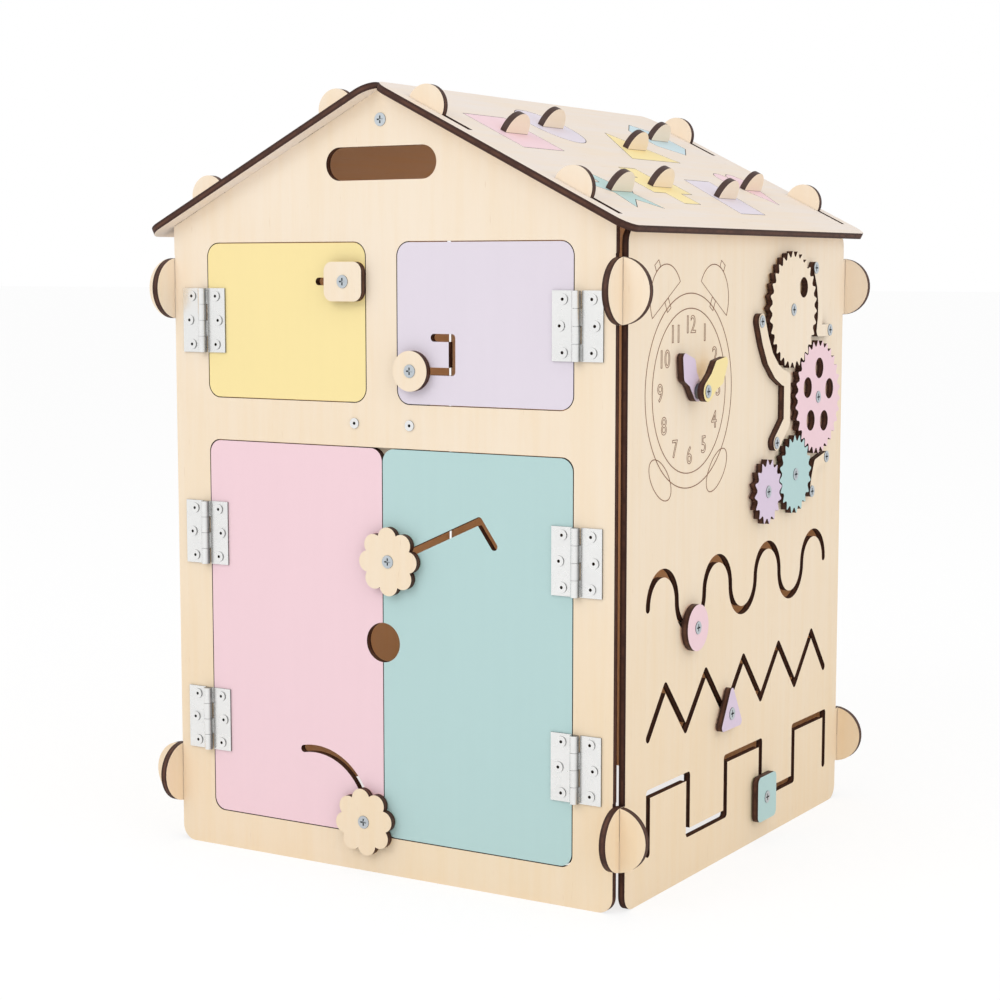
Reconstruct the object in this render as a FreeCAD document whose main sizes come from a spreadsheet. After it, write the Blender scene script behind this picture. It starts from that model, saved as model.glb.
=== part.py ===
import FreeCAD, Part
import os
import re

import Sketcher
from FreeCAD import Placement, Rotation, Vector

# Driving sizes in millimetres and degrees. Heights run up from the floor, "across" runs along a wall
# from its middle, and "down" runs down a roof slope from the ridge.
SIZES = {
    # shell
    "ply": 4, "wall_width": 300, "house_depth": 311.5, "wall_shoulder": 375, "roof_pitch": 0.5,
    "wall_corner": 9, "wall_gap": 2.5, "side_drop": 0.3, "lap_gap": 0.3, "ear_radius": 18,
    "lap_overrun": 1.8,
    "ear_low": 42, "ear_high": 338.3,
    # roof
    "roof_lift": 0.05, "roof_length": 181.2, "roof_overhang": 10, "roof_corner": 10, "ridge_gap": 0.1,
    "tab_radius": 12, "tab_upper": 32, "tab_lower": 136, "tab_slot_run": 19, "tab_gap": 0.3,
    "backing_start": 10, "backing_end": 165, "backing_ply": 3, "backing_inset": 6.75,
    # openings of the front wall
    "opening_reach": 125, "window_inner": 10.4, "window_bottom": 273.7, "window_top": 365.3,
    "window_corner": 8.5, "door_bottom": 22, "door_top": 248.8, "door_corner": 7.5, "kerf": 0.6,
    "handle_height": 408.9, "handle_length": 74.8, "handle_width": 18.8,
    "finger_height": 136.5, "finger_hole": 23, "gable_screw_height": 433,
    # stop plate behind the front wall
    "stop_width": 56, "stop_height": 40, "stop_middle": 262, "stop_ply": 3, "stop_gap": 0.2,
    "stop_rivet_across": 18.9, "stop_corner": 4,
    # hinges
    "hinge_offset": 2.3, "hinge_rise": 2.6, "leaf_width": 15.7, "leaf_height": 38, "leaf_thick": 1,
    "barrel": 5, "pin": 2.2, "pin_fit": 0.05, "knuckle_gap": 0.2, "barrel_gap": 0.3,
    "window_hinge_height": 319.5, "upper_hinge_height": 192.3, "lower_hinge_height": 78.4,
    "rivet_near": 9, "rivet_far": 10.8, "rivet_spread": 14.3,
    # rivets
    "rivet_shank": 3, "rivet_bore": 1.8, "rivet_head": 6, "rivet_head_thick": 0.6, "rivet_fit": 0.1,
    # screws, washers and nuts
    "screw_shank": 3, "screw_head": 7.4, "screw_sink": 2.2, "screw_crown": 0.3, "screw_fit": 0.1,
    "recess_length": 4.2, "recess_width": 0.9, "recess_depth": 1.2, "nut_across": 5.5, "nut_thick": 2.4,
    "washer_outer": 9, "back_washer_outer": 11, "washer_thick": 0.9, "slide_gap": 0.1, "screw_end": 0.6,
    # latches of the windows
    "latch_slot": 4.4, "square_latch_across": -23.3, "square_latch_height": 342.7,
    "square_latch_width": 26, "square_latch_tall": 22.4, "square_latch_corner": 5.5,
    "square_latch_open": 20, "square_latch_shut": 6, "slot_ease": 0.1,
    "round_latch_across": 22.2, "round_latch_height": 293, "round_latch": 22.8,
    "round_latch_open": 25, "round_latch_shut": 6, "round_slot_rise": 18.75, "round_slot_return": 11.9,
    # latches of the doors
    "flower_core": 13, "petal_radius": 6.2, "petal_reach": 13.5, "petals": 8,
    "upper_flower_across": 6.7, "upper_flower_height": 184.3, "upper_flower_turn": 2,
    "upper_slot_run": 58.1, "upper_slot_rise": 26.5, "upper_slot_tail_run": 9.8,
    "upper_slot_tail_drop": 13.8,
    "lower_flower_across": -11.3, "lower_flower_height": 30.4, "lower_flower_turn": 8,
    "swing_radius": 38, "swing_sweep": 102,
    # clock
    "clock_across": -74.75, "clock_height": 281.7, "hand_base": 5.8, "lower_hand_length": 30,
    "lower_hand_belly": 16, "lower_hand_width": 18, "lower_hand_turn": 130, "upper_hand_length": 34,
    "upper_hand_belly": 18, "upper_hand_width": 16, "upper_hand_turn": 35, "hand_round": 3,
    "hand_gap": 2.5, "hand_waist": 9,
    # gears
    "gear_module": 2.28, "cream_teeth": 30, "pink_teeth": 30, "mint_teeth": 20, "lavender_teeth": 16,
    "cream_across": 58.25, "cream_height": 325, "pink_way": -53.9, "mint_way": -126.3,
    "lavender_way": -169.8, "mesh_gap": 0.3, "addendum": 0.66, "dedendum": 0.84, "tip_share": 0.14,
    "root_share": 0.76, "cream_turn": 4, "cream_hole": 12.6, "cream_hole_reach": 20.2,
    "cream_hole_way": 42, "pink_hole": 13, "pink_hole_reach": 18.3, "pink_hole_way": 86.5,
    "pink_holes": 5,
    # guard strips
    "upper_guard_width": 7.5, "upper_guard_gap": 5, "upper_guard_foot": 18, "long_guard_width": 9.5,
    "long_guard_gap": 2.4, "long_guard_drop": 26, "long_guard_foot_run": 14.5,
    "long_guard_foot_drop": 12, "long_guard_flare": 2, "lower_guard_width": 7,
    "lower_guard_gap": 3.6,
    # maze slots of the right wall
    "maze_slot": 5, "wave_radius": 17.68, "wave_height": 164.5, "wave_middle": -0.25, "wave_count": 7,
    "zigzag_step": 25.9, "zigzag_low": 88.5, "zigzag_rise": 29, "zigzag_middle": 1.85,
    "zigzag_tail": 124.6, "zigzag_tail_height": 91.8,
    "square_step": 50.2, "square_low": 26.75, "square_rise": 33.5, "square_middle": 3.5,
    "round_knob": 26.8, "triangle_knob_side": 31, "triangle_knob_round": 2.5, "square_knob_width": 27,
    "square_knob_tall": 28, "square_knob_corner": 4, "knob_gap": 1,
    # shape pieces of the roof
    "piece_pitch": 68, "piece_gap": 0.5, "grip_radius": 12, "grip_thick": 4,
    "square_down": 59.5, "square_side": 44.5, "circle_down": 42.5, "circle_radius": 23,
    "triangle_down": 43, "triangle_rise": 40.5, "triangle_base": 64, "triangle_grip": 23,
    "hexagon_down": 45, "hexagon_radius": 23, "star_down": 135, "star_radius": 27.5, "star_waist": 11.5,
    "plus_down": 124.5, "plus_reach": 24, "plus_arm": 10, "slant_down": 135.5, "slant_rise": 47,
    "slant_width": 34, "slant_lean": 9, "heart_down": 106.5, "heart_lobe": 9.6, "heart_spread": 9,
    "heart_point": 35.5, "heart_grip": 13,
}

# Sizes that follow from the driving ones
WORKED = {
    "half_wall": "wall_width / 2",
    "half_depth": "house_depth / 2",
    "ridge_height": "wall_shoulder + half_wall * roof_pitch",
    "roof_angle": "atan(roof_pitch)",
    "roof_seat": "ridge_height + roof_lift",
    "side_half": "half_depth - ply - wall_gap",
    "side_height": "wall_shoulder - roof_pitch * ply - side_drop",
    "hinge_line": "opening_reach + hinge_offset",
    "through": "10 * ply",
    "through_start": "-5 * ply",
    "nut_corner": "nut_across / 2 / cos(30)",
    "knob_face": "knob_gap + ply",
    "upper_hand_start": "knob_face + hand_gap",
    "upper_hand_face": "upper_hand_start + ply",
    "screw_back": "-ply - washer_thick - slide_gap",
    "fixed_screw_end": "-ply - nut_thick - screw_end",
    "lap_reach": "ear_radius + lap_overrun",
    "tip_add": "addendum * gear_module",
    "root_cut": "dedendum * gear_module",
    "cream_pitch": "cream_teeth * gear_module / 2",
    "pink_pitch": "pink_teeth * gear_module / 2",
    "mint_pitch": "mint_teeth * gear_module / 2",
    "lavender_pitch": "lavender_teeth * gear_module / 2",
    "pink_across": "cream_across + (cream_pitch + pink_pitch + mesh_gap) * cos(pink_way)",
    "pink_height": "cream_height + (cream_pitch + pink_pitch + mesh_gap) * sin(pink_way)",
    "mint_across": "pink_across + (pink_pitch + mint_pitch + mesh_gap) * cos(mint_way)",
    "mint_height": "pink_height + (pink_pitch + mint_pitch + mesh_gap) * sin(mint_way)",
    "lavender_across": "mint_across + (mint_pitch + lavender_pitch + mesh_gap) * cos(lavender_way)",
    "lavender_height": "mint_height + (mint_pitch + lavender_pitch + mesh_gap) * sin(lavender_way)",
    # angle of one tooth gap of each gear: a gap of one gear faces a tooth of the next
    "pink_turn": "pink_way + 180 - (cream_turn - pink_way) * cream_teeth / pink_teeth + 180 / pink_teeth",
    "mint_turn": "mint_way + 180 - (pink_turn - mint_way) * pink_teeth / mint_teeth + 180 / mint_teeth",
    "lavender_turn": "lavender_way + 180 - (mint_turn - lavender_way) * mint_teeth / lavender_teeth"
                     " + 180 / lavender_teeth",
    "wave_step": "2 * wave_radius",
    "swing_across": "lower_flower_across - swing_radius",
}

doc = FreeCAD.newDocument("BusyHouse")
sheet = doc.addObject("Spreadsheet::Sheet", "Sizes")
for row, (alias, value) in enumerate(SIZES.items(), 1):
    sheet.set("A%d" % row, alias)
    sheet.set("B%d" % row, str(value))
    sheet.setAlias("B%d" % row, alias)
doc.recompute()

NODES = []


def tied(text):
    """A formula in the words above, as an expression on the sheet's cells."""
    def swap(match):
        word = match.group()
        if word in SIZES:
            return "Sizes." + word
        if word in WORKED:
            return "(" + tied(WORKED[word]) + ")"
        return word
    return re.sub(r"[a-z_]+", swap, str(text))


def number(text):
    value = sheet.evalExpression(tied(text))
    return float(getattr(value, "Value", value))


def bind(item, **formulas):
    """Bind properties of an object: length="ply" binds Length, x, y and z its place."""
    for key, text in formulas.items():
        path = "Placement.Base." + key if key in ("x", "y", "z") else key.capitalize()
        item.setExpression(path, tied(text))
    return item


def turn(item, angle):
    item.setExpression("Placement.Rotation.Angle", tied(angle))
    return item


# Plain solids, in the flat frame of a sheet: x and y along it, z out of its face

def disc(name, x, y, radius, start="through_start", height="through"):
    item = doc.addObject("Part::Cylinder", name)
    return bind(item, x=x, y=y, z=start, radius=radius, height=height)


def block(name, x, y, length, width, start="through_start", height="through"):
    item = doc.addObject("Part::Box", name)
    return bind(item, x=x, y=y, z=start, length=length, width=width, height=height)


def fuse(name, parts):
    item = doc.addObject("Part::MultiFuse", name)
    item.Shapes = parts
    return item


def cut(name, base, tools):
    item = doc.addObject("Part::Cut", name)
    item.Base = base
    item.Tool = tools[0] if len(tools) == 1 else fuse(name + "_tools", tools)
    return item


def group(name, parts):
    item = doc.addObject("Part::Compound", name)
    item.Links = parts
    return item


def origin_part(body, role):
    return next(part for part in body.Origin.OriginFeatures if part.Role == role)


def outline(body, name, points):
    """A closed polygon sketch whose corners are bound to formulas."""
    sketch = body.newObject("Sketcher::SketchObject", name)
    sketch.AttachmentSupport = (origin_part(body, "XY_Plane"), [""])
    sketch.MapMode = "FlatFace"
    places = [(number(x), number(y)) for x, y in points]
    count = len(points)
    for index, place in enumerate(places):
        after = places[(index + 1) % count]
        sketch.addGeometry(Part.LineSegment(Vector(*place, 0), Vector(*after, 0)))
    for index in range(count):
        sketch.addConstraint(Sketcher.Constraint("Coincident", index, 2, (index + 1) % count, 1))
    for index, corner in enumerate(points):
        for kind, axis, text, value in zip(("DistanceX", "DistanceY"), (-2, -1), corner, places[index]):
            if text == "0":
                sketch.addConstraint(Sketcher.Constraint("PointOnObject", index, 1, axis))
                continue
            which = sketch.addConstraint(Sketcher.Constraint(kind, -1, 1, index, 1, value))
            sketch.setExpression("Constraints[%d]" % which, tied(text))
    return sketch


def plate(name, points, start="0", height="ply", rounding=None, corners=None, x="0", y="0"):
    """A sheet cut to a polygon, with the upright edges at the given corners rounded."""
    body = doc.addObject("PartDesign::Body", name)
    sketch = outline(body, name + "_outline", points)
    pad = body.newObject("PartDesign::Pad", name + "_sheet")
    pad.Profile = sketch
    pad.setExpression("Length", tied(height))
    bind(body, x=x, y=y, z=start)
    if rounding:
        doc.recompute()
        chosen = range(len(points)) if corners is None else corners
        places = [Vector(number(points[k][0]), number(points[k][1]), 0) for k in chosen]
        near = number("ply / 1000")
        edges = []
        for index, edge in enumerate(pad.Shape.Edges, 1):
            first, last = edge.Vertexes[0].Point, edge.Vertexes[-1].Point
            upright = abs(first.z - last.z) > near
            if upright and any(abs(first.x - p.x) + abs(first.y - p.y) < near for p in places):
                edges.append("Edge%d" % index)
        fillet = body.newObject("PartDesign::Fillet", name + "_rounding")
        fillet.Base = (pad, edges)
        fillet.setExpression("Radius", tied(rounding))
    return body


def rectangle(left, right, low, high):
    return [(left, low), (right, low), (right, high), (left, high)]


def leg(name, first, last, width, start="through_start", height="through"):
    """A straight bar between two points."""
    run = "((%s) - (%s))" % (last[0], first[0])
    rise = "((%s) - (%s))" % (last[1], first[1])
    heading = "atan2(%s; %s)" % (rise, run)
    bar = doc.addObject("Part::Box", name)
    bind(bar, length="sqrt(%s^2 + %s^2)" % (run, rise), width=width, height=height, z=start,
         x="%s + (%s) / 2 * sin(%s)" % (first[0], width, heading),
         y="%s - (%s) / 2 * cos(%s)" % (first[1], width, heading))
    return turn(bar, heading)


def strip(name, points, width, start="through_start", height="through"):
    """Bars from point to point with a round joint or end at each."""
    parts = [disc("%s_joint" % name, x, y, "(%s) / 2" % width, start, height) for x, y in points]
    for first, last in zip(points, points[1:]):
        parts.append(leg("%s_leg" % name, first, last, width, start, height))
    return parts


def half_ring(name, x, y, radius, width, upper, start="through_start", height="through"):
    """Half of a flat ring, its open side down when upper is true and up when not."""
    parts = []
    for sign in ("+", "-"):
        half = disc("%s_half" % name, x, y, "%s %s (%s) / 2" % (radius, sign, width), start, height)
        half.Angle = 180
        half.Placement.Rotation = Rotation(Vector(0, 0, 1), 0 if upper else 180)
        parts.append(half)
    return cut(name, parts[0], [parts[1]])


# Placing finished nodes: local x, y and z of a flat sheet turn into the wall's or slope's directions

FRONT = Rotation(Vector(1, 0, 0), 90)
RIGHT = Rotation(Vector(1, 1, 1), 120)
HALF_TURN = Rotation(Vector(0, 0, 1), 180)
UPRIGHT = Rotation(Vector(1, 0, 0), -90)


def node(item, label):
    item.Label = label
    NODES.append(item)
    return item


def on_front(item, label):
    item.Placement = Placement(Vector(), FRONT)
    return node(bind(item, y="-half_depth"), label)


def on_back(item, label):
    item.Placement = Placement(Vector(), HALF_TURN.multiply(FRONT))
    return node(bind(item, y="half_depth"), label)


def on_right(item, label):
    item.Placement = Placement(Vector(), RIGHT)
    return node(bind(item, x="half_wall + ply"), label)


def on_left(item, label):
    item.Placement = Placement(Vector(), HALF_TURN.multiply(RIGHT))
    return node(bind(item, x="-half_wall - ply"), label)


def on_slope(item, label, side="+"):
    item.Placement = Placement(Vector(), Rotation(Vector(0, 1, 0), number("roof_angle")))
    turn(item, "%s(roof_angle)" % side)
    return node(bind(item, z="roof_seat"), label)


# Fasteners. Top is the height of the face they sit in or on, bottom the height of their far end.

def screw(name, x, y, top, bottom):
    """A countersunk screw with a cross recess, its low crown just above the face."""
    head = doc.addObject("Part::Cone", name + "_head")
    head.setExpression("Radius1", tied("screw_shank / 2"))
    head.setExpression("Radius2", tied("screw_head / 2"))
    bind(head, x=x, y=y, z="(%s) - screw_sink" % top, height="screw_sink")
    crown = disc(name + "_crown", x, y, "screw_head / 2", top, "screw_crown")
    shank_height = "(%s) - (%s) - screw_sink / 2" % (top, bottom)
    shank = disc(name + "_shank", x, y, "screw_shank / 2", bottom, shank_height)
    depth = "(%s) + screw_crown - recess_depth" % top
    recess = [
        block(name + "_recess", "%s - recess_length / 2" % x, "%s - recess_width / 2" % y,
              "recess_length", "recess_width", depth, "recess_depth * 2"),
        block(name + "_recess", "%s - recess_width / 2" % x, "%s - recess_length / 2" % y,
              "recess_width", "recess_length", depth, "recess_depth * 2"),
    ]
    return cut(name, fuse(name + "_solid", [head, crown, shank]), recess)


def screw_hole(name, x, y, top=None):
    """What a screw needs cut away: its shank's hole, and the sink of its head where top is given."""
    parts = [disc(name + "_hole", x, y, "screw_shank / 2 + screw_fit")]
    if top is not None:
        sink = doc.addObject("Part::Cone", name + "_sink")
        sink.setExpression("Radius1", tied("screw_shank / 2 + screw_fit"))
        sink.setExpression("Radius2", tied("screw_head / 2 + screw_fit"))
        parts.append(bind(sink, x=x, y=y, z="(%s) - screw_sink" % top, height="screw_sink"))
    return parts


def ring(name, x, y, radius, bore, start, height):
    return cut(name, disc(name + "_disc", x, y, radius, start, height), [disc(name + "_bore", x, y, bore)])


def washer(name, x, y, outer, start, height="washer_thick"):
    return ring(name, x, y, "%s / 2" % outer, "screw_shank / 2 + screw_fit", start, height)


def nut(name, x, y, top):
    prism = doc.addObject("Part::Prism", name + "_hexagon")
    prism.Polygon = 6
    prism.setExpression("Circumradius", tied("nut_corner"))
    bind(prism, x=x, y=y, z="(%s) - nut_thick" % top, height="nut_thick")
    return cut(name, prism, [disc(name + "_bore", x, y, "screw_shank / 2 + screw_fit")])


def slide_fastener(name, x, y):
    """Screw, washers and nut that hold a knob on a sheet and slide in its slot."""
    return group(name, [
        screw(name + "_screw", x, y, "knob_face", "screw_back - nut_thick - screw_end"),
        washer(name + "_spacer", x, y, "washer_outer", "slide_gap"),
        washer(name + "_washer", x, y, "back_washer_outer", "screw_back"),
        nut(name + "_nut", x, y, "screw_back"),
    ])


def rivet(name, x, y, top, bottom):
    """A tubular rivet with a head above its top and a flange below its bottom."""
    flange_start = "(%s) - rivet_head_thick" % bottom
    parts = [
        disc(name + "_head", x, y, "rivet_head / 2", top, "rivet_head_thick"),
        disc(name + "_flange", x, y, "rivet_head / 2", flange_start, "rivet_head_thick"),
        disc(name + "_shank", x, y, "rivet_shank / 2", bottom, "(%s) - (%s)" % (top, bottom)),
    ]
    return cut(name, fuse(name + "_solid", parts), [disc(name + "_bore", x, y, "rivet_bore / 2")])


# Hinges. Way is the sign of the side on which a leaf lies, seen from its axis.

def rivet_spots(axis, height, way):
    return [
        ("%s %s rivet_near" % (axis, way), "%s - rivet_spread" % height),
        ("%s %s rivet_far" % (axis, way), height),
        ("%s %s rivet_near" % (axis, way), "%s + rivet_spread" % height),
    ]


def rivet_holes(name, axis, heights, way):
    return [disc(name, x, y, "rivet_shank / 2 + rivet_fit")
            for height in heights for x, y in rivet_spots(axis, height, way)]


def leaf(name, axis, height, way, first_knuckle):
    """A hinge leaf: flat plate, two of the four knuckles and the tongues that join them."""
    low = "%s - leaf_height / 2" % height
    width = "leaf_width - barrel / 2 - barrel_gap"
    start = "%s + barrel / 2 + barrel_gap" % axis if way == "+" else "%s - leaf_width" % axis
    tongue = "barrel / 2 + 2 * barrel_gap"
    tongue_start = axis if way == "+" else "%s - (%s)" % (axis, tongue)
    parts = [block(name + "_plate", start, low, width, "leaf_height", "0", "leaf_thick")]
    for index in (first_knuckle, first_knuckle + 2):
        foot = "%s + leaf_height / 4 * %d + knuckle_gap / 2" % (low, index)
        length = "leaf_height / 4 - knuckle_gap"
        parts.append(block(name + "_tongue", tongue_start, foot, tongue, length, "0", "leaf_thick"))
        parts.append(upright_rod(name + "_knuckle", axis, foot, "barrel / 2", length))
    bore = upright_rod(name + "_bore", axis, low, "pin / 2 + pin_fit", "leaf_height")
    return cut(name, fuse(name + "_solid", parts), [bore] + rivet_holes(name + "_hole", axis, [height], way))


def upright_rod(name, axis, foot, radius, length):
    rod = doc.addObject("Part::Cylinder", name)
    rod.Placement = Placement(Vector(), UPRIGHT)
    return bind(rod, x=axis, y=foot, z="hinge_rise", radius=radius, height=length)


def hinge_pin(name, axis, height):
    return upright_rod(name, axis, "%s - leaf_height / 2" % height, "pin / 2", "leaf_height")


LEFT_AXIS, RIGHT_AXIS = "-hinge_line", "hinge_line"
DOOR_HINGES = ["upper_hinge_height", "lower_hinge_height"]
ALL_HINGES = ["window_hinge_height"] + DOOR_HINGES


# Walls

def ears(name, across):
    """The round ears at the four corners of a wall."""
    return [disc(name + "_ear", "%s(%s)" % (sign, across), height, "ear_radius", "-ply", "ply")
            for sign in "-+" for height in ("ear_low", "ear_high")]


def tabs(name):
    """Round tabs of a gable wall that stand through the roof, centred on its top face."""
    parts = []
    for sign in "-+":
        for down in ("tab_upper", "tab_lower"):
            across = "%s * cos(roof_angle) + ply * sin(roof_angle)" % down
            height = "roof_seat - %s * sin(roof_angle) + ply * cos(roof_angle)" % down
            parts.append(disc(name + "_tab", "%s(%s)" % (sign, across), height, "tab_radius", "-ply", "ply"))
    return parts


def gable_wall(name):
    points = [("-half_wall", "0"), ("half_wall", "0"), ("half_wall", "wall_shoulder"),
              ("0", "ridge_height"), ("-half_wall", "wall_shoulder")]
    sheet_body = plate(name + "_panel", points, "-ply", "ply", "wall_corner", [0, 1])
    return fuse(name + "_whole", [sheet_body] + ears(name, "half_wall + ply / 2") + tabs(name))


def gable_cuts(name):
    """Lap slots in the upper half of the ears, and the handle slot."""
    slots = [block(name + "_lap", left, height, "ply + 2 * lap_gap", "lap_reach")
             for left in ("half_wall - lap_gap", "-half_wall - ply - lap_gap")
             for height in ("ear_low", "ear_high")]
    reach = "(handle_length - handle_width) / 2"
    ends = [("-%s" % reach, "handle_height"), (reach, "handle_height")]
    return slots + strip(name + "_handle", ends, "handle_width")


def front_wall():
    cuts = gable_cuts("front")
    for left, right in (("-opening_reach", "-window_inner"), ("window_inner", "opening_reach")):
        cuts.append(plate("window_opening", rectangle(left, right, "window_bottom", "window_top"),
                          "through_start", "through", "window_corner"))
    cuts.append(plate("doorway", rectangle("-opening_reach", "opening_reach", "door_bottom", "door_top"),
                      "through_start", "through", "door_corner"))
    cuts += rivet_holes("left_rivet_hole", LEFT_AXIS, ALL_HINGES, "-")
    cuts += rivet_holes("right_rivet_hole", RIGHT_AXIS, ALL_HINGES, "+")
    cuts += stop_holes()
    cuts += screw_hole("gable", "0", "gable_screw_height", "0")
    on_front(cut("front_wall", gable_wall("front"), cuts), "front_wall")


def back_wall():
    on_back(cut("back_wall", gable_wall("back"), gable_cuts("back")), "back_wall")


def side_wall(name):
    panel = plate(name + "_panel", rectangle("-side_half", "side_half", "0", "side_height"),
                  "-ply", "ply", "wall_corner")
    return fuse(name + "_whole", [panel] + ears(name, "half_depth - ply / 2"))


def side_cuts(name):
    """Lap slots in the lower half of the ears."""
    return [block(name + "_lap", left, "%s - lap_reach" % height, "ply + 2 * lap_gap", "lap_reach")
            for left in ("half_depth - ply - lap_gap", "-half_depth - lap_gap")
            for height in ("ear_low", "ear_high")]


ZIGZAG_BENDS_EACH_WAY = 4
SQUARE_RISERS = 6


def wave_slot():
    parts = []
    for index in range(SIZES["wave_count"]):
        middle = "wave_middle + wave_step * (%d - (wave_count - 1) / 2)" % index
        upper = index % 2 == 0
        parts.append(half_ring("wave_slot", middle, "wave_height", "wave_radius", "maze_slot", upper))
    for sign in "-+":
        end = "wave_middle %s wave_step * wave_count / 2" % sign
        parts.append(disc("wave_end", end, "wave_height", "maze_slot / 2"))
    return parts


def zigzag_slot():
    points = [("zigzag_middle - zigzag_tail", "zigzag_tail_height")]
    for index in range(-ZIGZAG_BENDS_EACH_WAY, ZIGZAG_BENDS_EACH_WAY + 1):
        height = "zigzag_low + zigzag_rise" if index % 2 == 0 else "zigzag_low"
        points.append(("zigzag_middle + zigzag_step * %d" % index, height))
    points.append(("zigzag_middle + zigzag_tail", "zigzag_tail_height"))
    return strip("zigzag_slot", points, "maze_slot")


def square_slot():
    points = []
    for index in range(SQUARE_RISERS):
        across = "square_middle + square_step * %s" % (index - (SQUARE_RISERS - 1) / 2)
        heights = ["square_low", "square_low + square_rise"]
        points += [(across, height) for height in (heights if index % 2 == 0 else heights[::-1])]
    return strip("square_slot", points, "maze_slot")


def right_wall():
    cuts = side_cuts("right") + wave_slot() + zigzag_slot() + square_slot()
    for x, y in [("clock_across", "clock_height")] + GEAR_SCREWS + GUARD_SCREWS:
        cuts += screw_hole("wall_screw", x, y)
    on_right(cut("right_wall", side_wall("right"), cuts), "right_wall")


def left_wall():
    on_left(cut("left_wall", side_wall("left"), side_cuts("left")), "left_wall")


# Roof

def slope_panel(name, way):
    """A roof slope, flat: x runs down the slope on its own side, y along the ridge."""
    near, far = "%s ridge_gap" % way, "%s roof_length" % way
    side = "half_depth + roof_overhang"
    return plate(name, rectangle(near, far, "-(%s)" % side, side), "0", "ply", "roof_corner")


def tab_slots(name, way):
    """Slots for the wall tabs, each run on down the slope past its tab."""
    slots = []
    length = "2 * tab_radius + 2 * tab_gap + tab_slot_run"
    for down in ("tab_upper", "tab_lower"):
        near = "%s - tab_radius - tab_gap" % down
        left = near if way == "+" else "-(%s) - (%s)" % (near, length)
        for front in ("-half_depth - tab_gap", "half_depth - ply - tab_gap"):
            slots.append(block(name + "_slot", left, front, length, "ply + 2 * tab_gap"))
    return slots


def left_roof():
    on_slope(cut("left_roof", slope_panel("left_slope", "-"), tab_slots("left", "-")), "left_roof", "-")


def right_roof():
    cuts = tab_slots("right", "+") + [piece_solid(name, True) for name in PIECES]
    on_slope(cut("right_roof", slope_panel("right_slope", "+"), cuts), "right_roof")


def roof_backing():
    side = "half_depth - backing_inset"
    points = rectangle("backing_start", "backing_end", "-(%s)" % side, side)
    on_slope(plate("roof_backing", points, "0", "backing_ply"), "roof_backing")
    NODES[-1].setExpression("Placement.Base.x", tied("-backing_ply * sin(roof_angle)"))
    NODES[-1].setExpression("Placement.Base.z", tied("roof_seat - backing_ply * cos(roof_angle)"))


# Shape pieces. Each has its place along the ridge, in steps of the pitch from the middle, the place
# of its origin down the slope, that of its grip below the origin, and its outline about the origin.

def regular(count, radius, first_angle, waist=None):
    points = []
    for index in range(count):
        angle = first_angle + 360 * index / count
        points.append(("%s * cos(%s)" % (radius, angle), "%s * sin(%s)" % (radius, angle)))
        if waist:
            between = angle + 180 / count
            points.append(("%s * cos(%s)" % (waist, between), "%s * sin(%s)" % (waist, between)))
    return points


HEART_FAR = "sqrt(heart_point^2 + heart_spread^2)"
HEART_FLANK = "sqrt(heart_point^2 + heart_spread^2 - heart_lobe^2)"
HEART_ANGLE = "(atan(heart_spread / heart_point) + asin(heart_lobe / %s))" % HEART_FAR
HEART_TOUCH = ("heart_point - %s * cos(%s)" % (HEART_FLANK, HEART_ANGLE),
               "%s * sin(%s)" % (HEART_FLANK, HEART_ANGLE))

PIECES = {
    "pink_square": (-1.5, "square_down", "0", rectangle(
        "-square_side / 2", "square_side / 2", "-square_side / 2", "square_side / 2")),
    "lavender_circle": (-0.5, "circle_down", "0", None),
    "yellow_triangle": (0.5, "triangle_down", "triangle_grip", [
        ("0", "0"), ("triangle_rise", "-triangle_base / 2"), ("triangle_rise", "triangle_base / 2")]),
    "blue_hexagon": (1.5, "hexagon_down", "0", regular(6, "hexagon_radius", 180)),
    "mint_star": (-1.5, "star_down", "0", regular(5, "star_radius", 180, "star_waist")),
    "yellow_plus": (-0.5, "plus_down", "0", [
        ("plus_reach", "-plus_arm"), ("plus_reach", "plus_arm"), ("plus_arm", "plus_arm"),
        ("plus_arm", "plus_reach"), ("-plus_arm", "plus_reach"), ("-plus_arm", "plus_arm"),
        ("-plus_reach", "plus_arm"), ("-plus_reach", "-plus_arm"), ("-plus_arm", "-plus_arm"),
        ("-plus_arm", "-plus_reach"), ("plus_arm", "-plus_reach"), ("plus_arm", "-plus_arm")]),
    "lavender_slant": (0.5, "slant_down", "0", [
        ("-slant_rise / 2", "-slant_width / 2 + slant_lean / 2"),
        ("slant_rise / 2", "-slant_width / 2 - slant_lean / 2"),
        ("slant_rise / 2", "slant_width / 2 - slant_lean / 2"),
        ("-slant_rise / 2", "slant_width / 2 + slant_lean / 2")]),
    "pink_heart": (1.5, "heart_down", "heart_grip", [
        ("heart_point", "0"), HEART_TOUCH, ("0", "heart_spread"), ("0", "-heart_spread"),
        (HEART_TOUCH[0], "-(%s)" % HEART_TOUCH[1])]),
}


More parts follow.
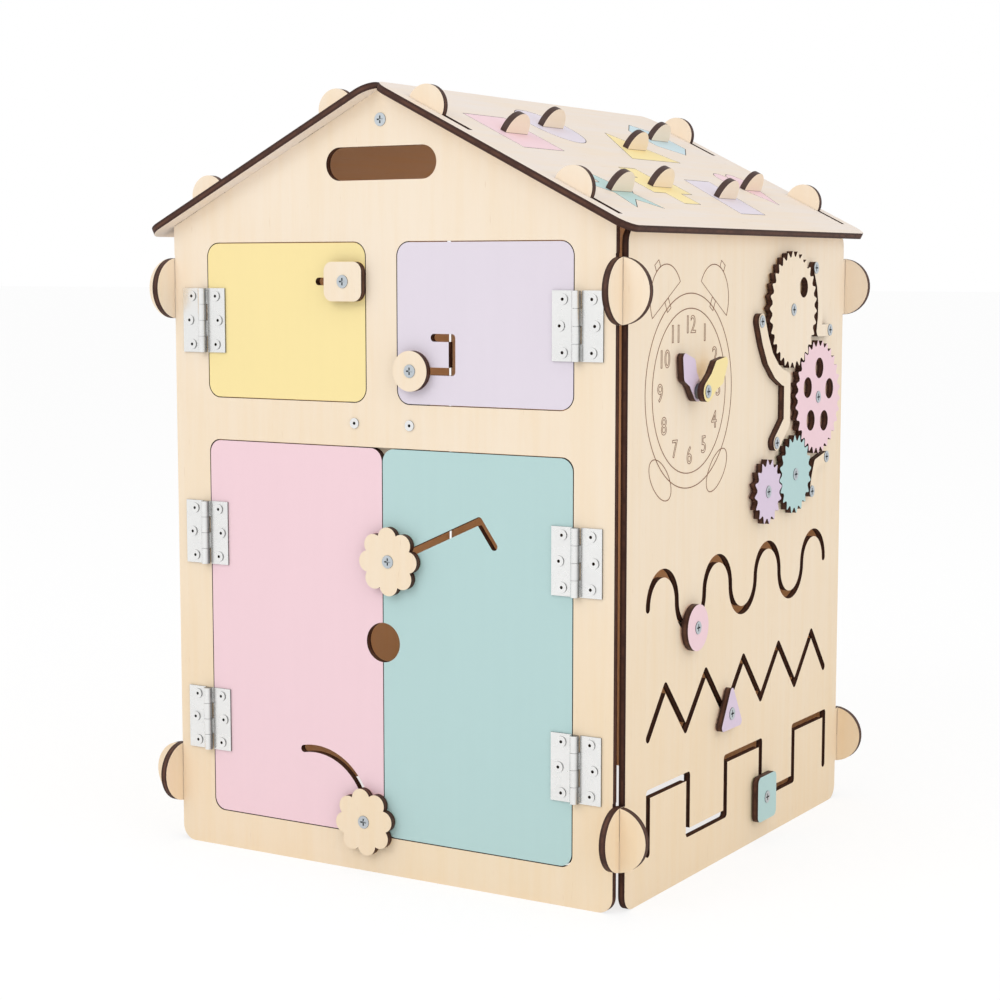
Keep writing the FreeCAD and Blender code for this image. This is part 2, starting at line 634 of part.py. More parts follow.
def piece_solid(name, hole):
    """The tile of a shape piece, or the hole that clears it all round."""
    steps, down = PIECES[name][:2]
    points = PIECES[name][-1]
    y = "%s * piece_pitch" % steps
    start, height, spare = ("through_start", "through", "piece_gap") if hole else ("0", "ply", "0")
    label = name + ("_hole" if hole else "_tile")
    if points is None:
        return disc(label, down, y, "circle_radius + %s" % spare, start, height)
    body = doc.addObject("PartDesign::Body", label + "_body")
    base = outline(body, label + "_outline", points)
    if hole:
        grown = doc.addObject("Part::Offset2D", label + "_grown")
        grown.Source = base
        grown.setExpression("Value", tied("piece_gap"))
        base = grown
    solid = doc.addObject("Part::Extrusion", label)
    solid.Base = base
    solid.DirMode = "Custom"
    solid.Dir = Vector(0, 0, 1)
    solid.Solid = True
    solid.setExpression("LengthFwd", tied(height))
    bind(solid, x=down, y=y, z=start)
    if name != "pink_heart":
        return solid
    lobe = "heart_lobe + %s" % spare
    lobes = [disc(label + "_lobe", down, "%s %s heart_spread" % (y, sign), lobe, start, height)
             for sign in "-+"]
    return fuse(label + "_heart", [solid] + lobes)


def shape_piece(name):
    """A tile flush with the roof, with a half-round grip standing on it."""
    steps, down, grip = PIECES[name][:3]
    handle = doc.addObject("Part::Cylinder", name + "_grip")
    handle.Angle = 180
    handle.Placement = Placement(Vector(), RIGHT)
    bind(handle, x="%s + %s - grip_thick / 2" % (down, grip), y="%s * piece_pitch" % steps, z="ply",
         radius="grip_radius", height="grip_thick")
    on_slope(group(name, [piece_solid(name, False), handle]), name + "_piece")


# Stop plate, its rivets and the screw in the gable

def stop_holes():
    return [disc("stop_hole", "%s stop_rivet_across" % sign, "stop_middle", "rivet_shank / 2 + rivet_fit")
            for sign in "-+"]


def inner_door_stop():
    low, high = "stop_middle - stop_height / 2", "stop_middle + stop_height / 2"
    start = "-ply - stop_gap - stop_ply"
    body = plate("stop_plate", rectangle("-stop_width / 2", "stop_width / 2", low, high), start, "stop_ply",
                 "stop_corner")
    on_front(cut("inner_door_stop", body, stop_holes()), "inner_door_stop")
    rivets = [rivet("stop_rivet", "%s stop_rivet_across" % sign, "stop_middle", "0", start) for sign in "-+"]
    on_front(group("stop_rivets", rivets), "stop_rivets")


def gable_screw():
    parts = [screw("gable_screw_part", "0", "gable_screw_height", "0", "fixed_screw_end"),
             nut("gable_nut", "0", "gable_screw_height", "-ply")]
    on_front(group("gable_screw", parts), "gable_screw")


# Hinges on the frame

def frame_hinges():
    leaves, pins, rivets = [], [], []
    for axis, way in ((LEFT_AXIS, "-"), (RIGHT_AXIS, "+")):
        for height in ALL_HINGES:
            leaves.append(leaf("frame_leaf", axis, height, way, 0))
            pins.append(hinge_pin("hinge_pin", axis, height))
            rivets += [rivet("frame_rivet", x, y, "leaf_thick", "-ply")
                       for x, y in rivet_spots(axis, height, way)]
    on_front(group("frame_hinge_leaves", leaves), "frame_hinge_leaves")
    on_front(group("hinge_pins", pins), "hinge_pins")
    on_front(group("frame_hinge_rivets", rivets), "frame_hinge_rivets")


def panel_hinges(label, axis, way, heights):
    """Leaves and rivets on a door or window."""
    leaves = [leaf(label + "_leaf", axis, height, way, 1) for height in heights]
    rivets = [rivet(label + "_rivet", x, y, "leaf_thick", "-ply")
              for height in heights for x, y in rivet_spots(axis, height, way)]
    on_front(group(label + "_hinge_leaves", leaves), label + "_hinge_leaves")
    on_front(group(label + "_hinge_rivets", rivets), label + "_hinge_rivets")


def panel(label, sides, low, high, corner, axis, way, heights, cuts):
    """A door or window cut out of the wall, smaller than its opening by the kerf."""
    points = rectangle(sides[0], sides[1], "%s + kerf" % low, "%s - kerf" % high)
    body = plate(label + "_panel", points, "-ply", "ply", corner)
    holes = rivet_holes(label + "_hole", axis, heights, way)
    on_front(cut(label, body, cuts + holes), label)
    panel_hinges(label, axis, way, heights)


# Windows and their latches

def yellow_window():
    ends = [("square_latch_across - square_latch_open - slot_ease", "square_latch_height"),
            ("square_latch_across + square_latch_shut + slot_ease", "square_latch_height")]
    slot = strip("square_latch_slot", ends, "latch_slot")
    panel("yellow_window", ("-opening_reach + kerf", "-window_inner - kerf"), "window_bottom", "window_top",
          "window_corner - kerf", LEFT_AXIS, "+", ["window_hinge_height"], slot)
    place = ("square_latch_across", "square_latch_height")
    points = rectangle("-square_latch_width / 2", "square_latch_width / 2",
                       "-square_latch_tall / 2", "square_latch_tall / 2")
    body = plate("square_latch_plate", points, "knob_gap", "ply", "square_latch_corner", None, *place)
    hole = screw_hole("square_latch", *place, "knob_face")
    on_front(cut("square_latch_knob", body, hole), "square_latch_knob")
    on_front(slide_fastener("square_latch_screw", *place), "square_latch_screw")


def lavender_window():
    left = "round_latch_across - round_latch_shut - slot_ease"
    right = "round_latch_across + round_latch_open + slot_ease"
    top = "round_latch_height + round_slot_rise"
    points = [(left, "round_latch_height"), (right, "round_latch_height"), (right, top),
              ("%s - round_slot_return" % right, top)]
    slot = strip("round_latch_slot", points, "latch_slot")
    panel("lavender_window", ("window_inner + kerf", "opening_reach - kerf"), "window_bottom", "window_top",
          "window_corner - kerf", RIGHT_AXIS, "-", ["window_hinge_height"], slot)
    place = ("round_latch_across", "round_latch_height")
    body = disc("round_latch_plate", *place, "round_latch / 2", "knob_gap", "ply")
    hole = screw_hole("round_latch", *place, "knob_face")
    on_front(cut("round_latch_knob", body, hole), "round_latch_knob")
    on_front(slide_fastener("round_latch_screw", *place), "round_latch_screw")


# Doors and their flower latches

def finger_hole():
    return disc("finger_hole", "0", "finger_height", "finger_hole / 2")


def flower(label, x, y, first_angle):
    parts = [disc(label + "_core", x, y, "flower_core", "knob_gap", "ply")]
    for index in range(SIZES["petals"]):
        angle = "(%s + 360 / petals * %d)" % (first_angle, index)
        parts.append(disc(label + "_petal", "%s + petal_reach * cos(%s)" % (x, angle),
                          "%s + petal_reach * sin(%s)" % (y, angle), "petal_radius", "knob_gap", "ply"))
    on_front(cut(label, fuse(label + "_whole", parts), screw_hole(label, x, y, "knob_face")), label)


def mint_door():
    place = ("upper_flower_across", "upper_flower_height")
    corner = ("upper_flower_across + upper_slot_run", "upper_flower_height + upper_slot_rise")
    tail = ("%s + upper_slot_tail_run" % corner[0], "%s - upper_slot_tail_drop" % corner[1])
    cuts = [finger_hole()] + strip("upper_flower_slot", [place, corner, tail], "latch_slot")
    panel("mint_door", ("kerf / 2", "opening_reach - kerf"), "door_bottom", "door_top", "door_corner",
          RIGHT_AXIS, "-", DOOR_HINGES, cuts)
    flower("upper_flower_latch", *place, "upper_flower_turn")
    on_front(slide_fastener("upper_flower_screw", *place), "upper_flower_screw")


def pink_door():
    place = ("lower_flower_across", "lower_flower_height")
    slot = ring("lower_flower_ring", "swing_across", "lower_flower_height", "swing_radius + latch_slot / 2",
                "swing_radius - latch_slot / 2", "through_start", "through")
    sector = doc.addObject("Part::Cylinder", "lower_flower_sector")
    bind(sector, x="swing_across", y="lower_flower_height", z="through_start", radius="swing_radius * 2",
         height="through", angle="swing_sweep")
    arc = doc.addObject("Part::Common", "lower_flower_slot")
    arc.Base, arc.Tool = slot, sector
    end = ("swing_across + swing_radius * cos(swing_sweep)",
           "lower_flower_height + swing_radius * sin(swing_sweep)")
    ends = [disc("lower_flower_slot_end", x, y, "latch_slot / 2") for x, y in (place, end)]
    panel("pink_door", ("-opening_reach + kerf", "-kerf / 2"), "door_bottom", "door_top", "door_corner",
          LEFT_AXIS, "+", DOOR_HINGES, [finger_hole(), arc] + ends)
    flower("lower_flower_latch", *place, "lower_flower_turn")
    on_front(slide_fastener("lower_flower_screw", *place), "lower_flower_screw")


# Clock

def clock_hand(label, start, length, belly, width, angle, sink):
    """A leaf-shaped hand turned about the clock's screw."""
    half = "%s / 2" % width
    points = [("0", "-hand_base"), ("hand_waist", "-hand_base"), (belly, "-%s" % half), (length, "0"),
              (belly, half), ("hand_waist", "hand_base"), ("0", "hand_base")]
    blade = plate(label + "_blade", points, start, "ply", "hand_round", [2, 3, 4],
                  "clock_across", "clock_height")
    turn(blade, angle)
    root = disc(label + "_root", "clock_across", "clock_height", "hand_base", start, "ply")
    hole = screw_hole(label, "clock_across", "clock_height", sink)
    on_right(cut(label, fuse(label + "_whole", [blade, root]), hole), label)


def clock():
    clock_hand("lavender_hand", "knob_gap", "lower_hand_length", "lower_hand_belly", "lower_hand_width",
               "lower_hand_turn", None)
    clock_hand("yellow_hand", "upper_hand_start", "upper_hand_length", "upper_hand_belly",
               "upper_hand_width", "upper_hand_turn", "upper_hand_face")
    place = ("clock_across", "clock_height")
    on_right(screw("clock_screw", *place, "upper_hand_face", "fixed_screw_end"), "clock_screw")


# Gears

GEARS = {
    "cream": ("cream_across", "cream_height"),
    "pink": ("pink_across", "pink_height"),
    "mint": ("mint_across", "mint_height"),
    "lavender": ("lavender_across", "lavender_height"),
}
GEAR_SCREWS = list(GEARS.values())


def circle_sketch(body, name, radius):
    sketch = body.newObject("Sketcher::SketchObject", name)
    sketch.AttachmentSupport = (origin_part(body, "XY_Plane"), [""])
    sketch.MapMode = "FlatFace"
    sketch.addGeometry(Part.Circle(Vector(), Vector(0, 0, 1), number(radius)))
    sketch.addConstraint(Sketcher.Constraint("Coincident", 0, 3, -1, 1))
    which = sketch.addConstraint(Sketcher.Constraint("Radius", 0, number(radius)))
    sketch.setExpression("Constraints[%d]" % which, tied(radius))
    return sketch


def gear(colour, holes):
    """A toothed wheel: a round blank with a gap between teeth cut again and again about its axis."""
    label = colour + "_gear"
    tip = "(%s_pitch + tip_add)" % colour
    root = "(%s_pitch - root_cut)" % colour
    outer = "(%s + tip_add / 2)" % tip
    half = "180 / %s_teeth" % colour
    root_angle = "(%s * (1 - root_share))" % half
    slope = "(%s * (root_share - tip_share) / (tip_add + root_cut))" % half
    outer_angle = "(%s + %s * (tip_add * 1.5 + root_cut))" % (root_angle, slope)
    body = doc.addObject("PartDesign::Body", label + "_wheel")
    pad = body.newObject("PartDesign::Pad", label + "_blank")
    pad.Profile = circle_sketch(body, label + "_rim", tip)
    pad.setExpression("Length", tied("ply"))
    doc.recompute()
    points = [("%s * cos(%s)" % (root, root_angle), "-%s * sin(%s)" % (root, root_angle)),
              ("%s * cos(%s)" % (outer, outer_angle), "-%s * sin(%s)" % (outer, outer_angle)),
              ("%s * cos(%s)" % (outer, outer_angle), "%s * sin(%s)" % (outer, outer_angle)),
              ("%s * cos(%s)" % (root, root_angle), "%s * sin(%s)" % (root, root_angle))]
    gap = body.newObject("PartDesign::Pocket", label + "_gap")
    gap.Profile = outline(body, label + "_gap_outline", points)
    gap.Reversed = True
    gap.setExpression("Length", tied("2 * ply"))
    doc.recompute()
    pattern = body.newObject("PartDesign::PolarPattern", label + "_teeth")
    pattern.Originals = [gap]
    pattern.Axis = (origin_part(body, "Z_Axis"), [""])
    pattern.Angle = 360
    pattern.setExpression("Occurrences", tied("%s_teeth" % colour))
    body.Tip = pattern
    x, y = GEARS[colour]
    bind(body, x=x, y=y, z="knob_gap")
    turn(body, "%s_turn" % colour)
    on_right(cut(label, body, screw_hole(label, x, y, "knob_face") + holes), label)


def gears():
    hole_x = "cream_across + cream_hole_reach * cos(cream_hole_way)"
    hole_y = "cream_height + cream_hole_reach * sin(cream_hole_way)"
    gear("cream", [disc("cream_hole_cut", hole_x, hole_y, "cream_hole / 2")])
    holes = []
    for index in range(SIZES["pink_holes"]):
        angle = "(pink_hole_way + 360 / pink_holes * %d)" % index
        holes.append(disc("pink_hole_cut", "pink_across + pink_hole_reach * cos(%s)" % angle,
                          "pink_height + pink_hole_reach * sin(%s)" % angle, "pink_hole / 2"))
    gear("pink", holes)
    gear("mint", [])
    gear("lavender", [])


# Guard strips around the gears. Their ends carry the screws.

def around(colour, gap, width, angle, extra="0"):
    """A point at a guard's distance from a gear's teeth, in a direction from the gear's centre."""
    x, y = GEARS[colour]
    reach = "(%s_pitch + tip_add + %s + %s / 2 + %s)" % (colour, gap, width, extra)
    return ("%s + %s * cos(%s)" % (x, reach, angle), "%s + %s * sin(%s)" % (y, reach, angle))


def shifted(place, run, rise):
    return ("%s %s" % (place[0], run), "%s %s" % (place[1], rise))


# Directions from a gear's centre in which a guard has its points
UPPER_GUARD_WAYS = (35, 20, 5, -7, -18)
LONG_GUARD_TOP_WAY = 188
LONG_GUARD_WAYS = (205, 222, 239, 253, 262)
LOWER_GUARD_PINK_WAYS = (-66, -89)
LOWER_GUARD_MINT_WAYS = (-8, -25)


def guard_routes():
    upper = [around("cream", "upper_guard_gap", "upper_guard_width", way) for way in UPPER_GUARD_WAYS]
    upper.append(shifted(upper[-1], "+ upper_guard_foot", "+ 0"))
    long = [around("cream", "long_guard_gap", "long_guard_width", LONG_GUARD_TOP_WAY, "long_guard_flare")]
    long += [around("cream", "long_guard_gap", "long_guard_width", way) for way in LONG_GUARD_WAYS]
    long.append(shifted(long[-1], "+ 0", "- long_guard_drop"))
    long.append(shifted(long[-1], "- long_guard_foot_run", "- long_guard_foot_drop"))
    lower = [around("pink", "lower_guard_gap", "lower_guard_width", way) for way in LOWER_GUARD_PINK_WAYS]
    lower += [around("mint", "lower_guard_gap", "lower_guard_width", way) for way in LOWER_GUARD_MINT_WAYS]
    return {"upper_gear_guard": (upper, "upper_guard_width"), "long_gear_guard": (long, "long_guard_width"),
            "lower_gear_guard": (lower, "lower_guard_width")}


GUARDS = guard_routes()
GUARD_SCREWS = [route[end] for route, width in GUARDS.values() for end in (0, -1)]


def guards():
    for label, (route, width) in GUARDS.items():
        bars = fuse(label + "_bars", strip(label, route, width, "0", "ply"))
        holes = screw_hole(label, *route[0], "ply") + screw_hole(label, *route[-1], "ply")
        on_right(cut(label, bars, holes), label)


def wall_fasteners():
    """Screws of gears and guards, every nut behind the wall, and the spacers in front of it."""
    back = "fixed_screw_end"
    screws = [screw("gear_screw", x, y, "knob_face", back) for x, y in GEAR_SCREWS]
    screws += [screw("guard_screw", x, y, "ply", back) for x, y in GUARD_SCREWS]
    on_right(group("wall_screws", screws), "wall_screws")
    turning = GEAR_SCREWS + [("clock_across", "clock_height")]
    nuts = [nut("wall_nut", x, y, "-ply") for x, y in turning + GUARD_SCREWS]
    on_right(group("wall_nuts", nuts), "wall_nuts")
    spacers = [washer("wall_spacer", x, y, "washer_outer", "0", "knob_gap - slide_gap") for x, y in turning]
    spacers.append(washer("hand_spacer", "clock_across", "clock_height", "washer_outer",
                          "knob_face + slide_gap", "hand_gap - 2 * slide_gap"))
    on_right(group("wall_spacers", spacers), "wall_spacers")


# Knobs of the maze slots

def maze_knob(label, body, x, y):
    on_right(cut(label, body, screw_hole(label, x, y, "knob_face")), label)
    on_right(slide_fastener(label + "_screw", x, y), label + "_screw")


def maze_knobs():
    x, y = "wave_middle - wave_step * 2", "wave_height - wave_radius"
    body = disc("round_knob_plate", x, y, "round_knob / 2", "knob_gap", "ply")
    maze_knob("round_maze_knob", body, x, y)

    x, y = "zigzag_middle - zigzag_step", "zigzag_low"
    reach = "triangle_knob_side / sqrt(3)"
    body = plate("triangle_knob_plate", regular(3, reach, 90), "knob_gap", "ply",
                 "triangle_knob_round", None, x, y)
    maze_knob("triangle_maze_knob", body, x, y)

    x, y = "square_middle + square_step / 2", "square_low"
    points = rectangle("-square_knob_width / 2", "square_knob_width / 2", "-square_knob_tall / 2",
                       "square_knob_tall / 2")
    body = plate("square_knob_plate", points, "knob_gap", "ply", "square_knob_corner", None, x, y)
    maze_knob("square_maze_knob", body, x, y)


def check_objects():
    for item in doc.Objects:
        if {"Invalid", "Error"} & set(item.State):
            raise RuntimeError("%s failed: %s" % (item.Name, item.State))
    for item in NODES:
        if item.Shape.isNull() or not item.Shape.isValid() or not item.Shape.Solids:
            raise RuntimeError("%s has no valid shape" % item.Label)


def main():
    front_wall()
    back_wall()
    left_wall()
    right_wall()
    left_roof()
    right_roof()
    roof_backing()
    inner_door_stop()
    gable_screw()
    frame_hinges()
    yellow_window()
    lavender_window()
    mint_door()
    pink_door()
    clock()
    gears()
    guards()
    wall_fasteners()
    maze_knobs()
    for name in PIECES:
        shape_piece(name)
    doc.recompute()
    check_objects()
    os.makedirs("parts", exist_ok=True)
    for item in NODES:
        item.Shape.exportStep("parts/%s.step" % item.Label)
    print(len(NODES), "nodes")


main()
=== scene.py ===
"""Dresses the plywood play house: sheet, paint and metal finishes, the engraved clock, and a studio."""

from math import atan, cos, pi, radians, sin

import bpy
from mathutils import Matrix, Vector


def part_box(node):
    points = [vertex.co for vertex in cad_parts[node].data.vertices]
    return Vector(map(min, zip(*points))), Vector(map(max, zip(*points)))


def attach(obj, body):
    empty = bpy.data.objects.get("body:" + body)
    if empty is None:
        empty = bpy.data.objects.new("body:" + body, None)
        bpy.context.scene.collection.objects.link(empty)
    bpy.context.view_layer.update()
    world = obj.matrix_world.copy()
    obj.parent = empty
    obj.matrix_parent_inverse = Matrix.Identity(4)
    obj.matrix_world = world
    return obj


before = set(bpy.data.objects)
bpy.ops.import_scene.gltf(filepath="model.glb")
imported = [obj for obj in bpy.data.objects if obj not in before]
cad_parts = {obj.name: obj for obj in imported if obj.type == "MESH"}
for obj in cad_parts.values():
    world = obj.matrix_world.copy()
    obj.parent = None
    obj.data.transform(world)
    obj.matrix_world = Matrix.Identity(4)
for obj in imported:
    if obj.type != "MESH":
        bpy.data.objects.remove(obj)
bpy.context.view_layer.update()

bl_info = {
    "name": "Plywood Play House",
    "version": (1, 0, 0),
    "blender": (4, 5, 0),
    "location": "View3D > Sidebar > Play House",
    "description": "Finishes and engraves a plywood play house and sets up its studio",
    "category": "Object",
}

MM = 0.001
SLOPE = atan(0.5)
SLOPE_DOWN = Vector((cos(SLOPE), 0, -sin(SLOPE)))
SLOPE_NORMAL = Vector((sin(SLOPE), 0, cos(SLOPE)))
LEFT_NORMAL = Vector((-sin(SLOPE), 0, cos(SLOPE)))
FRONT_NORMAL = Vector((0, -1, 0))
RIGHT_NORMAL = Vector((1, 0, 0))
UP = Vector((0, 0, 1))
ALONG = Vector((0, 1, 0))

KNOB_GAP = 1 * MM
WALL_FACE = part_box("mint_gear")[0].x - KNOB_GAP
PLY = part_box("front_wall")[1].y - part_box("front_wall")[0].y
RIDGE = Vector((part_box("right_roof")[0].x + PLY * sin(SLOPE), 0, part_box("right_roof")[1].z))
ROOF_TOP = RIDGE.dot(SLOPE_NORMAL)

GRAIN_BUMP = (0.12, 0.0004)
SCRATCH_BUMP = (0.02, 0.0002)
ARC_STEPS = 24


def shade(red, green, blue):
    """A colour picked as it looks on a screen, in the shader's linear values."""
    linear = [((part + 0.055) / 1.055) ** 2.4 if part > 0.04045 else part / 12.92
              for part in (red, green, blue)]
    return (*linear, 1)


class Finishes(bpy.types.PropertyGroup):
    """Colours and finishes of the house."""
    birch_light: bpy.props.FloatVectorProperty(
        name="Light birch", description="Paler streaks of the sheet's face", subtype="COLOR", size=4,
        default=shade(0.975, 0.915, 0.835))
    birch_warm: bpy.props.FloatVectorProperty(
        name="Warm birch", description="Warmer streaks of the sheet's face", subtype="COLOR", size=4,
        default=shade(0.955, 0.862, 0.725))
    birch_pale: bpy.props.FloatVectorProperty(
        name="Pale birch", description="Greyer birch of the roof", subtype="COLOR", size=4,
        default=shade(0.935, 0.895, 0.865))
    burnt: bpy.props.FloatVectorProperty(
        name="Burnt edge", description="Edge darkened by the laser", subtype="COLOR", size=4,
        default=shade(0.24, 0.135, 0.10))
    burnt_core: bpy.props.FloatVectorProperty(
        name="Burnt core", description="Middle layer seen in the cut edge", subtype="COLOR", size=4,
        default=shade(0.42, 0.27, 0.20))
    yellow: bpy.props.FloatVectorProperty(
        name="Yellow", description="Yellow paint", subtype="COLOR", size=4,
        default=shade(0.995, 0.915, 0.66))
    lavender: bpy.props.FloatVectorProperty(
        name="Lavender", description="Lavender paint", subtype="COLOR", size=4,
        default=shade(0.905, 0.87, 0.915))
    deep_lavender: bpy.props.FloatVectorProperty(
        name="Deep lavender", description="Lavender paint of hand, gear and knob", subtype="COLOR", size=4,
        default=shade(0.885, 0.815, 0.895))
    pink: bpy.props.FloatVectorProperty(
        name="Pink", description="Pink paint", subtype="COLOR", size=4, default=shade(0.97, 0.84, 0.87))
    mint: bpy.props.FloatVectorProperty(
        name="Mint", description="Mint paint", subtype="COLOR", size=4, default=shade(0.735, 0.855, 0.85))
    blue: bpy.props.FloatVectorProperty(
        name="Pale blue", description="Pale blue paint", subtype="COLOR", size=4,
        default=shade(0.80, 0.89, 0.92))
    zinc: bpy.props.FloatVectorProperty(
        name="Zinc", description="Plating of hinges and rivets", subtype="COLOR", size=4,
        default=shade(0.985, 0.985, 0.98))
    screw_zinc: bpy.props.FloatVectorProperty(
        name="Screw zinc", description="Bluish plating of screws and nuts", subtype="COLOR", size=4,
        default=shade(0.80, 0.83, 0.85))


class Engraving(bpy.types.PropertyGroup):
    """The alarm clock engraved on the right wall."""
    line: bpy.props.FloatProperty(
        name="Line", description="Half the width of an engraved line", default=0.27 * MM, subtype="DISTANCE")
    outer_ring: bpy.props.FloatProperty(
        name="Outer ring", description="Radius of the clock's case", default=54.7 * MM, subtype="DISTANCE")
    inner_ring: bpy.props.FloatProperty(
        name="Inner ring", description="Radius of the dial", default=46.3 * MM, subtype="DISTANCE")
    numeral_ring: bpy.props.FloatProperty(
        name="Numeral ring", description="Radius on which the hours stand", default=36.8 * MM,
        subtype="DISTANCE")
    numeral_size: bpy.props.FloatProperty(
        name="Numeral size", description="Height of type of the hours", default=14 * MM, subtype="DISTANCE")
    bell: bpy.props.FloatProperty(
        name="Bell", description="Radius of a bell", default=19.5 * MM, subtype="DISTANCE")
    bell_reach: bpy.props.FloatVectorProperty(
        name="Bell reach", size=2,
        description="Middle of the right bell's rim from the clock's middle, across and up",
        default=(30 * MM, 51.3 * MM), subtype="TRANSLATION")
    bell_lean: bpy.props.FloatProperty(
        name="Bell lean", description="Lean of a bell from the upright", default=radians(30.5),
        subtype="ANGLE")
    stem: bpy.props.FloatVectorProperty(
        name="Stem", size=3,
        description="Reach from the bell's rim, half width and half height of a stem",
        default=(-3.4 * MM, 2.4 * MM, 3.2 * MM), subtype="TRANSLATION")
    button: bpy.props.FloatVectorProperty(
        name="Button", size=3,
        description="Reach from the bell's rim, half width and half height of a button",
        default=(21.6 * MM, 2.8 * MM, 2 * MM), subtype="TRANSLATION")
    foot_lean: bpy.props.FloatProperty(
        name="Foot lean", description="Lean of a foot from the level", default=radians(39), subtype="ANGLE")
    foot: bpy.props.FloatVectorProperty(
        name="Foot", description="Half length and half width of a foot", size=2, default=(16 * MM, 8.4 * MM),
        subtype="TRANSLATION")
    foot_reach: bpy.props.FloatVectorProperty(
        name="Foot reach", description="Middle of the right foot from the clock's middle, across and up",
        size=2, default=(36 * MM, -47.5 * MM), subtype="TRANSLATION")


class Studio(bpy.types.PropertyGroup):
    """Camera and lights."""
    camera_place: bpy.props.FloatVectorProperty(
        name="Camera", description="Where the camera stands", size=3, default=(0.6744, -1.13695, 0.350),
        subtype="TRANSLATION")
    camera_tilt: bpy.props.FloatProperty(
        name="Camera tilt", description="Turn of the camera up from straight down", default=radians(83.705),
        subtype="ANGLE")
    camera_heading: bpy.props.FloatProperty(
        name="Camera heading", description="Turn of the camera about the upright", default=radians(31.274),
        subtype="ANGLE")
    lens: bpy.props.FloatProperty(name="Lens", description="Focal length in millimetres", default=75.5)
    sky: bpy.props.FloatProperty(name="Sky", description="Strength of the even light", default=0.8)
    key: bpy.props.FloatProperty(name="Key", description="Power of the large light in front", default=11.5)
    side: bpy.props.FloatProperty(name="Side", description="Power of the light on the right wall", default=8)
    top: bpy.props.FloatProperty(name="Top", description="Power of the light above", default=1.38)
    inside: bpy.props.FloatProperty(
        name="Inside", description="Power of the light in the house", default=0.12)
    floor_size: bpy.props.FloatProperty(name="Floor", description="Width of the floor", default=60)
    floor_glow: bpy.props.FloatProperty(
        name="Floor glow", description="How bright the floor is to the camera", default=1.07)
    floor_share: bpy.props.FloatProperty(
        name="Floor share", description="Share of the glow against the shaded floor", default=0.72)


class Wire:
    """A shader socket with arithmetic, so that a formula adds its own Math nodes."""

    def __init__(self, tree, socket):
        self.tree = tree
        self.socket = socket

    def maths(self, operation, *values, clamp=False):
        return self.tree.add("ShaderNodeMath", {"operation": operation, "use_clamp": clamp},
                             dict(enumerate(values)))

    def __add__(self, other):
        return self.maths("ADD", self, other)

    def __sub__(self, other):
        return self.maths("SUBTRACT", self, other)

    def __rsub__(self, other):
        return self.maths("SUBTRACT", other, self)

    def __mul__(self, other):
        return self.maths("MULTIPLY", self, other)

    __radd__, __rmul__ = __add__, __mul__

    def size(self):
        return self.maths("ABSOLUTE", self)

    def step(self, low, high):
        """Zero below low, one above high, smooth between."""
        return self.tree.add("ShaderNodeMapRange", {"interpolation_type": "SMOOTHSTEP"},
                             {"Value": self, "From Min": low, "From Max": high})


class Tree:
    """A material's node tree."""

    def __init__(self, name):
        self.material = bpy.data.materials.new(name)
        self.material.use_nodes = True
        self.nodes = self.material.node_tree.nodes
        self.links = self.material.node_tree.links
        self.shader = self.nodes["Principled BSDF"]

    def add(self, kind, settings=None, values=None, output=0):
        node = self.nodes.new(kind)
        for key, value in (settings or {}).items():
            setattr(node, key, value)
        for key, value in (values or {}).items():
            self.feed(node.inputs[key], value)
        return Wire(self, node.outputs[output])

    def feed(self, socket, value):
        if isinstance(value, Wire):
            self.links.new(value.socket, socket)
        else:
            socket.default_value = value

    def set(self, **values):
        for key, value in values.items():
            self.feed(self.shader.inputs[key.replace("_", " ")], value)

    def place(self):
        return self.add("ShaderNodeTexCoord", output="Object")

    def facing(self):
        return self.add("ShaderNodeTexCoord", output="Normal")

    def along(self, vector, direction):
        """How far a vector goes in a direction."""
        wire = self.add("ShaderNodeVectorMath", {"operation": "DOT_PRODUCT"}, {0: vector}, output="Value")
        wire.socket.node.inputs[1].default_value = direction
        return wire

    def mix(self, factor, first, second):
        node = self.nodes.new("ShaderNodeMix")
        node.data_type = "RGBA"
        for socket, value in zip((node.inputs[0], node.inputs[6], node.inputs[7]), (factor, first, second)):
            self.feed(socket, value)
        return Wire(self, node.outputs[2])

    def noise(self, vector, scale, detail=3, rough=0.55):
        return self.add("ShaderNodeTexNoise", {}, {
            "Vector": vector, "Scale": scale, "Detail": detail, "Roughness": rough}, output="Fac")

    def stretch(self, vector, scale):
        wire = self.add("ShaderNodeMapping", {}, {"Vector": vector})
        wire.socket.node.inputs["Scale"].default_value = scale
        return wire

    def bump(self, height, strength, distance):
        return self.add("ShaderNodeBump", {}, {"Height": height, "Strength": strength, "Distance": distance})


# Materials

def grain_scale(grain, long=9, across=150):
    """Stretch of the streaks: long along the grain, fine across it."""
    return tuple(long * abs(part) + across * (1 - abs(part)) for part in grain)


def birch_face(tree, place, grain, light=None):
    """Colour of a birch face: warmer low down, with patches, streaks along the grain and short flecks."""
    looks = bpy.context.scene.house_finishes
    patches = tree.noise(place, 7).step(0.35, 0.65)
    streaks = tree.noise(tree.stretch(place, grain_scale(grain)), 1, 5, 0.65)
    low = 1 - tree.along(place, UP).step(0, 0.42)
    warmth = patches * 0.2 + streaks.step(0.3, 0.75) * 0.3 + low * 0.5
    colour = tree.mix(warmth, light or looks.birch_light, looks.birch_warm)
    flecks = tree.noise(tree.stretch(place, grain_scale(grain, 60, 700)), 1, 2).step(0.69, 0.76)
    return tree.mix(flecks * 0.22, colour, shade(0.80, 0.66, 0.50)), streaks


